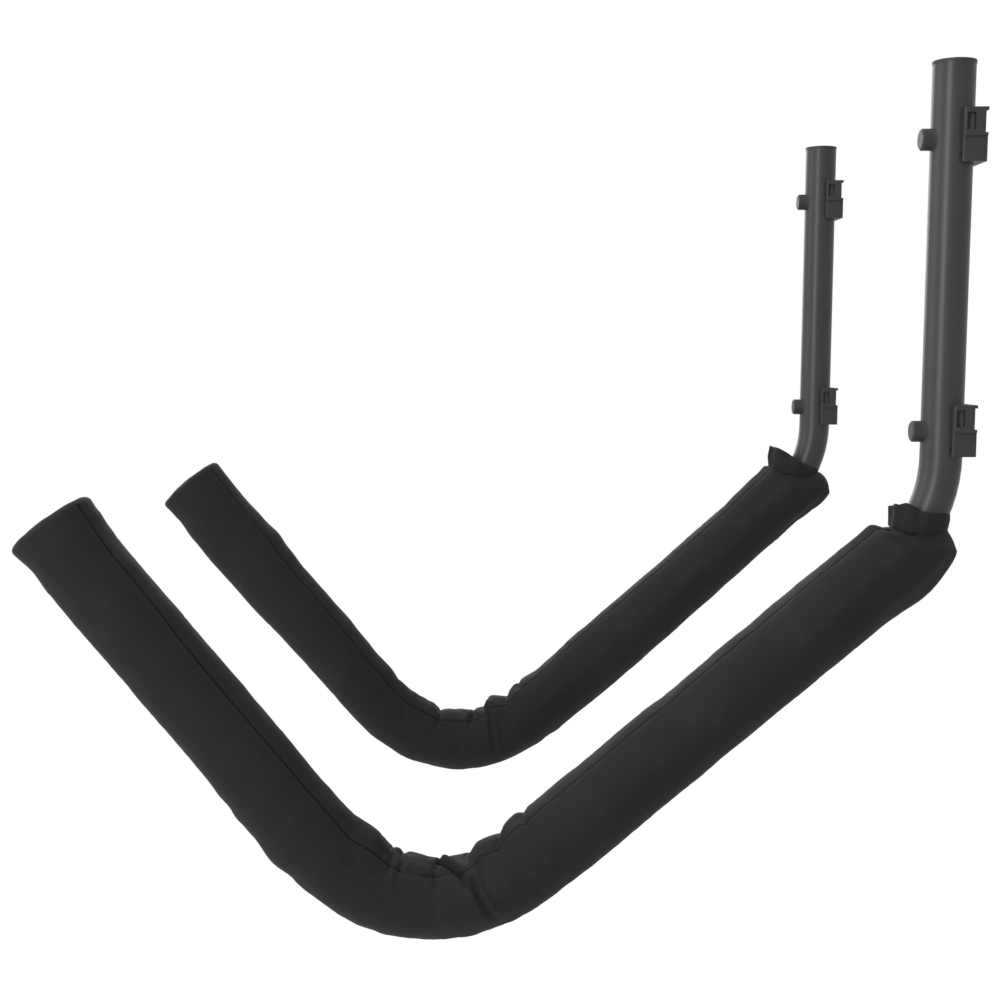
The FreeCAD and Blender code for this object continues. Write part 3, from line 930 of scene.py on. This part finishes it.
def spread(tree, source, low, high):
    """A value remapped to a narrow range."""
    node = add_node(tree, "ShaderNodeMapRange", To_Min=low, To_Max=high)
    tree.links.new(source, node.inputs["Value"])
    return node.outputs["Result"]


def shade(colour, factor):
    return tuple(channel * factor for channel in colour)


def bump(tree, shader, height, strength, distance):
    node = add_node(tree, "ShaderNodeBump", Strength=strength, Distance=distance)
    tree.links.new(height, node.inputs["Height"])
    tree.links.new(node.outputs["Normal"], shader.inputs["Normal"])


def object_noise(tree, scale, detail=3.0):
    place = tree.nodes.new("ShaderNodeTexCoord")
    node = add_node(tree, "ShaderNodeTexNoise", Scale=scale, Detail=detail)
    tree.links.new(place.outputs["Object"], node.inputs["Vector"])
    return node.outputs["Fac"]


def hard_finish(name, colour, mottle, tones, gloss, roughness, grain, strength, depth, **inputs):
    """A hard surface: two mottled tones, a varying gloss and a fine grain, each with its own noise."""
    material, tree, shader = new_material(name, **inputs)
    tone = ramp(tree, object_noise(tree, *mottle), shade(colour, tones[0]), shade(colour, tones[1]))
    tree.links.new(tone, shader.inputs["Base Color"])
    tree.links.new(spread(tree, object_noise(tree, gloss), *roughness), shader.inputs["Roughness"])
    bump(tree, shader, object_noise(tree, grain, detail=2.0), strength, depth)
    return material


def powder_coat(finish):
    """Satin charcoal powder coat: fine orange peel, a slight cloudiness and a soft sheen."""
    return hard_finish(
        "powder_coat", finish.coat_colour[:], mottle=(26.0, 5.0), tones=(0.86, 1.14), gloss=60.0,
        roughness=(0.34, 0.42), grain=620.0, strength=0.16, depth=0.0002, Specular_IOR_Level=0.27,
    )


def moulded_plastic(finish):
    """Glass-filled black nylon with a fine spark-eroded grain."""
    return hard_finish(
        "moulded_plastic", finish.plastic_colour[:], mottle=(90.0, 4.0), tones=(0.82, 1.2), gloss=300.0,
        roughness=(0.46, 0.62), grain=1900.0, strength=0.22, depth=0.00015, Specular_IOR_Level=0.25,
    )


def zinc_steel(finish):
    """Bright zinc plate with a faint crystalline mottle."""
    return hard_finish(
        "zinc_steel", finish.steel_colour[:], mottle=(240.0, 4.0), tones=(0.84, 1.06), gloss=420.0,
        roughness=(0.26, 0.42), grain=900.0, strength=0.08, depth=0.0001, Metallic=1.0,
    )


def woven(tree, pitch):
    """Height of a plain weave on the cloth's own map, from 0 to 1."""
    place = tree.nodes.new("ShaderNodeUVMap")
    place.uv_map = "weave"
    scale = math.tau / WAVE_RATE / pitch
    heights = []
    for turn in (0.0, math.pi / 2):
        mapping = tree.nodes.new("ShaderNodeMapping")
        mapping.inputs["Rotation"].default_value = (0, 0, turn + math.pi / 4)
        tree.links.new(place.outputs["UV"], mapping.inputs["Vector"])
        wave = add_node(tree, "ShaderNodeTexWave", Scale=scale, Distortion=0.6, Detail=1.0)
        tree.links.new(mapping.outputs["Vector"], wave.inputs["Vector"])
        heights.append(wave.outputs["Fac"])
    return calculate(tree, "MAXIMUM", *heights)


def stitches(tree):
    """1 on the thread of the row of stitches beside each long seam, 0 elsewhere."""
    place = tree.nodes.new("ShaderNodeUVMap")
    place.uv_map = "stitch"
    split = tree.nodes.new("ShaderNodeSeparateXYZ")
    tree.links.new(place.outputs["UV"], split.inputs["Vector"])
    in_row = calculate(tree, "COMPARE", split.outputs["X"], STITCH_OFFSET)
    in_row.node.inputs[2].default_value = STITCH_WIDTH / 2
    turn = calculate(tree, "FRACT", calculate(tree, "DIVIDE", split.outputs["Y"], STITCH_PITCH), 0)
    return calculate(tree, "MULTIPLY", in_row, calculate(tree, "LESS_THAN", turn, STITCH_SHARE))


def cover_fabric(sleeve):
    """Black nylon cloth: a fine weave, stitched seams, a soft sheen and slight fading."""
    material, tree, shader = new_material(
        "cover_fabric", Specular_IOR_Level=0.12, Sheen_Weight=0.02, Sheen_Roughness=0.5
    )
    colour = sleeve.fabric_colour[:]
    fading = object_noise(tree, scale=15.0, detail=6.0)
    tone = ramp(tree, fading, low=shade(colour, 0.84), high=shade(colour, 1.2))
    thread = stitches(tree)
    mix = tree.nodes.new("ShaderNodeMix")
    mix.data_type = "RGBA"
    tree.links.new(thread, mix.inputs["Factor"])
    tree.links.new(tone, mix.inputs["A"])
    mix.inputs["B"].default_value = (*shade(colour, THREAD_TONE), 1)
    tree.links.new(mix.outputs["Result"], shader.inputs["Base Color"])
    gloss = object_noise(tree, scale=40.0)
    tree.links.new(spread(tree, gloss, low=0.66, high=0.82), shader.inputs["Roughness"])
    raised = calculate(tree, "MULTIPLY", thread, STITCH_HEIGHT)
    height = calculate(tree, "ADD", woven(tree, sleeve.weave_pitch), raised)
    bump(tree, shader, height, strength=0.26, distance=0.00025)
    return material


def dress(nodes, material):
    for name in nodes:
        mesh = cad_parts[name].data
        mesh.materials.clear()
        mesh.materials.append(material)


def named(*endings):
    """The CAD nodes whose names end with one of these words."""
    found = [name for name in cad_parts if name.endswith(endings)]
    if not found:
        raise RuntimeError(f"no CAD node is named {endings}")
    return found


def add_web(bm, corner, inwards):
    """A rounded plate with a hollow field, flat against the sides of its window."""
    middle = corner + Vector((inwards * (WEB_RECESS + WEB_THICKNESS / 2), *WEB_MIDDLE))
    size = Matrix.Diagonal((WEB_THICKNESS, *WEB_SIZE, 1))
    place = Matrix.Scale(MM, 4) @ Matrix.Translation(middle) @ size
    made = bmesh.ops.create_cube(bm, size=1.0, matrix=place)
    edges = dict.fromkeys(edge for vert in made["verts"] for edge in vert.link_edges)
    half = WEB_THICKNESS * MM / 2
    across = [edge for edge in edges if abs(edge.verts[0].co.x - edge.verts[1].co.x) > half]
    bmesh.ops.bevel(
        bm, geom=across, offset=WEB_ROUND * MM, affect="EDGES", segments=4, profile=0.5, material=-1
    )
    outside = (middle.x - inwards * WEB_THICKNESS / 2) * MM
    fields = [face for face in bm.faces if abs(face.calc_center_median().x - outside) < SAME_PLACE]
    bmesh.ops.inset_individual(bm, faces=fields, thickness=WEB_BORDER * MM, depth=-WEB_HOLLOW * MM)


COLOUR = {"min": 0.0, "max": 1.0, "subtype": "COLOR"}


class SleeveSettings(PropertyGroup):
    radius: FloatProperty(
        name="Radius", description="Outside of the padded sleeve",
        default=0.0345, min=0.02, unit="LENGTH",
    )
    seam_width: FloatProperty(
        name="Seam width", description="Width of a sewn seam",
        default=0.0024, min=0.0005, unit="LENGTH",
    )
    seam_depth: FloatProperty(
        name="Seam depth", description="How far a seam is drawn in",
        default=0.0024, min=0.0, unit="LENGTH",
    )
    weave_pitch: FloatProperty(
        name="Weave pitch", description="Distance between two threads",
        default=0.0009, min=0.0002, unit="LENGTH",
    )
    fill: FloatProperty(
        name="Fill", description="How tightly the foam fills the sleeve",
        default=0.8, min=0.0, max=1.0, subtype="FACTOR",
    )
    fabric_colour: FloatVectorProperty(
        name="Fabric", description="Colour of the cover",
        default=(0.0160, 0.0160, 0.0154), **COLOUR,
    )


class FinishSettings(PropertyGroup):
    coat_colour: FloatVectorProperty(
        name="Powder coat", description="Colour of the tubes",
        default=(0.036, 0.036, 0.0345), **COLOUR,
    )
    plastic_colour: FloatVectorProperty(
        name="Plastic", description="Colour of brackets, hooks, caps and plugs",
        default=(0.034, 0.034, 0.0325), **COLOUR,
    )
    steel_colour: FloatVectorProperty(
        name="Zinc", description="Colour of bolts and nuts",
        default=(0.62, 0.62, 0.6), **COLOUR,
    )


class StageSettings(PropertyGroup):
    floor_height: FloatProperty(
        name="Floor height", description="Height of the floor under the wall mounts",
        default=-1.2, unit="LENGTH",
    )
    floor_colour: FloatVectorProperty(
        name="Floor", description="Colour of the floor",
        default=(0.9, 0.9, 0.9), **COLOUR,
    )
    camera_place: FloatVectorProperty(
        name="Camera", description="Where the camera stands",
        default=(1.2953, -0.3540, -0.0332), subtype="TRANSLATION", unit="LENGTH",
    )
    camera_aim: FloatVectorProperty(
        name="Aim", description="Which way the camera looks",
        default=(-0.99396, -0.00821, -0.10944), subtype="DIRECTION",
    )
    lens: FloatProperty(name="Lens", description="Focal length in millimetres", default=49.61, min=10.0)
    key_power: FloatProperty(
        name="Key light", description="Power of the key softbox",
        default=34.0, min=0.0, unit="POWER",
    )
    sky: FloatProperty(name="Sky", description="Strength of the even light", default=0.34, min=0.0)


class RACK_OT_coat_tubes(Operator):
    """Gives both bent tubes their powder coat"""

    bl_idname = "rack.coat_tubes"
    bl_label = "Coat Tubes"

    def execute(self, context):
        dress(named("arm_tube"), powder_coat(context.scene.rack_finish))
        return {"FINISHED"}


class RACK_OT_mould_plastics(Operator):
    """Gives the brackets, hooks, washers, caps and plugs their moulded plastic"""

    bl_idname = "rack.mould_plastics"
    bl_label = "Mould Plastics"

    def execute(self, context):
        material = moulded_plastic(context.scene.rack_finish)
        dress(named("wall_bracket", "tube_hook", "saddle_washer", "nut_cap", "plug"), material)
        return {"FINISHED"}


class RACK_OT_set_webs(Operator):
    """Sets a thin recessed web in each window of the tube hooks"""

    bl_idname = "rack.set_webs"
    bl_label = "Set Webs"

    def execute(self, context):
        plastic = bpy.data.materials["moulded_plastic"]
        for side in ARM_X:
            bm = bmesh.new()
            for level in ("upper", "lower"):
                low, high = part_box(f"{side}_{level}_tube_hook")
                for cheek, inwards in ((low[0], 1), (high[0], -1)):
                    add_web(bm, Vector((cheek, low[1], high[2])) / MM, inwards)
            piece = linked(f"{side}_window_webs", bm)
            piece.data.materials.append(plastic)
            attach(piece, f"{side}_arm")
        return {"FINISHED"}


class RACK_OT_plate_fasteners(Operator):
    """Gives the bolts and nuts their zinc plate"""

    bl_idname = "rack.plate_fasteners"
    bl_label = "Plate Fasteners"

    def execute(self, context):
        dress(named("through_bolt", "lock_nut"), zinc_steel(context.scene.rack_finish))
        return {"FINISHED"}


class RACK_OT_sew_sleeves(Operator):
    """Sews and fills the padded sleeve of each arm"""

    bl_idname = "rack.sew_sleeves"
    bl_label = "Sew Sleeves"

    def execute(self, context):
        sleeve = context.scene.rack_sleeve
        fabric = cover_fabric(sleeve)
        dress(named("pad_cover", "foam_pad", "hem_elastic"), fabric)
        for side in ARM_X:
            bm = shaped_sleeve(side)
            settle(side, bm)
            groove(bm, seam_edges(bm, side), sleeve.seam_width, sleeve.seam_depth)
            lay_weave(side, bm)
            piece = linked(f"{side}_sleeve", bm)
            piece.data.materials.append(fabric)
            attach(piece, f"{side}_arm")
            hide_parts(f"{side}_pad_cover", f"{side}_foam_pad", f"{side}_hem_elastic")
        return {"FINISHED"}


class RACK_OT_set_stage(Operator):
    """Sets the floor, the soft lights, the white surround and the camera"""

    bl_idname = "rack.set_stage"
    bl_label = "Set Stage"

    def execute(self, context):
        stage = context.scene.rack_stage
        lay_floor(stage)
        hang_lights(stage)
        light_surround(stage)
        place_camera(stage)
        context.scene.view_settings.view_transform = "Standard"
        return {"FINISHED"}


def seen_directly(tree):
    """1 for the rays that should meet plain white: camera, glossy and transmission."""
    path = tree.nodes.new("ShaderNodeLightPath")
    value = path.outputs["Is Camera Ray"]
    for name in ("Is Glossy Ray", "Is Transmission Ray"):
        value = calculate(tree, "MAXIMUM", value, path.outputs[name])
    return value


def lay_floor(stage):
    """A pale floor that keeps the shadow under the rack and runs out to plain white."""
    bm = bmesh.new()
    bmesh.ops.create_grid(bm, x_segments=8, y_segments=8, size=FLOOR_HALF)
    bmesh.ops.translate(bm, verts=bm.verts, vec=(0, 0, stage.floor_height))
    floor = linked("floor", bm)
    material, tree, shader = new_material(
        "floor", Base_Color=(*stage.floor_colour, 1), Roughness=1.0, Specular_IOR_Level=0.0
    )
    place = tree.nodes.new("ShaderNodeTexCoord")
    away = tree.nodes.new("ShaderNodeVectorMath")
    away.operation = "DISTANCE"
    away.inputs[1].default_value = (*SHADOW_CENTRE, stage.floor_height)
    tree.links.new(place.outputs["Object"], away.inputs[0])
    fade = add_node(tree, "ShaderNodeMapRange", From_Min=SHADOW_INNER, From_Max=SHADOW_OUTER)
    fade.interpolation_type = "SMOOTHSTEP"
    tree.links.new(away.outputs["Value"], fade.inputs["Value"])
    white = tree.nodes.new("ShaderNodeEmission")
    mix = tree.nodes.new("ShaderNodeMixShader")
    tree.links.new(calculate(tree, "MULTIPLY", fade.outputs["Result"], seen_directly(tree)), mix.inputs[0])
    tree.links.new(shader.outputs["BSDF"], mix.inputs[1])
    tree.links.new(white.outputs["Emission"], mix.inputs[2])
    tree.links.new(mix.outputs["Shader"], tree.nodes["Material Output"].inputs["Surface"])
    floor.data.materials.append(material)


def hang_lights(stage):
    for name, (place, width, height, share) in LAMPS.items():
        data = bpy.data.lights.new(name, "AREA")
        data.shape = "RECTANGLE"
        data.size = width
        data.size_y = height
        data.energy = stage.key_power * share
        lamp = bpy.data.objects.new(name, data)
        lamp.location = place
        lamp.visible_camera = False
        lamp.rotation_euler = (Vector(LAMP_AIM) - Vector(place)).to_track_quat("-Z", "Y").to_euler()
        bpy.context.scene.collection.objects.link(lamp)


def light_surround(stage):
    """An even sky that the camera sees as plain white."""
    world = bpy.data.worlds.new("surround")
    bpy.context.scene.world = world
    world.use_nodes = True
    tree = world.node_tree
    ground = tree.nodes["Background"]
    ground.inputs["Color"].default_value = (1, 1, 1, 1)
    tree.links.new(spread(tree, seen_directly(tree), stage.sky, 1.0), ground.inputs["Strength"])


def place_camera(stage):
    data = bpy.data.cameras.new("camera")
    data.lens = stage.lens
    camera = bpy.data.objects.new("camera", data)
    camera.location = stage.camera_place
    camera.rotation_euler = Vector(stage.camera_aim).to_track_quat("-Z", "Y").to_euler()
    bpy.context.scene.collection.objects.link(camera)
    bpy.context.scene.camera = camera


class RACK_PT_panel(Panel):
    """Lists the steps that dress the rack"""

    bl_label = "Wall Rack"
    bl_idname = "RACK_PT_panel"
    bl_space_type = "VIEW_3D"
    bl_region_type = "UI"
    bl_category = "Wall Rack"

    def draw(self, context):
        for step in STEPS:
            self.layout.operator(step.bl_idname)
        for place, group in GROUPS.items():
            box = self.layout.box()
            for name in group.__annotations__:
                box.prop(getattr(context.scene, place), name)


STEPS = (
    RACK_OT_coat_tubes,
    RACK_OT_mould_plastics,
    RACK_OT_set_webs,
    RACK_OT_plate_fasteners,
    RACK_OT_sew_sleeves,
    RACK_OT_set_stage,
)
GROUPS = {"rack_sleeve": SleeveSettings, "rack_finish": FinishSettings, "rack_stage": StageSettings}


def register():
    for name, group in GROUPS.items():
        bpy.utils.register_class(group)
        setattr(bpy.types.Scene, name, PointerProperty(type=group))
    for step in (*STEPS, RACK_PT_panel):
        bpy.utils.register_class(step)


def unregister():
    for step in (*STEPS, RACK_PT_panel):
        bpy.utils.unregister_class(step)
    for name, group in GROUPS.items():
        delattr(bpy.types.Scene, name)
        bpy.utils.unregister_class(group)


def main():
    register()
    bpy.ops.rack.coat_tubes()
    bpy.ops.rack.mould_plastics()
    bpy.ops.rack.set_webs()
    bpy.ops.rack.plate_fasteners()
    bpy.ops.rack.sew_sleeves()
    bpy.ops.rack.set_stage()


if __name__ == "__main__":
    main()
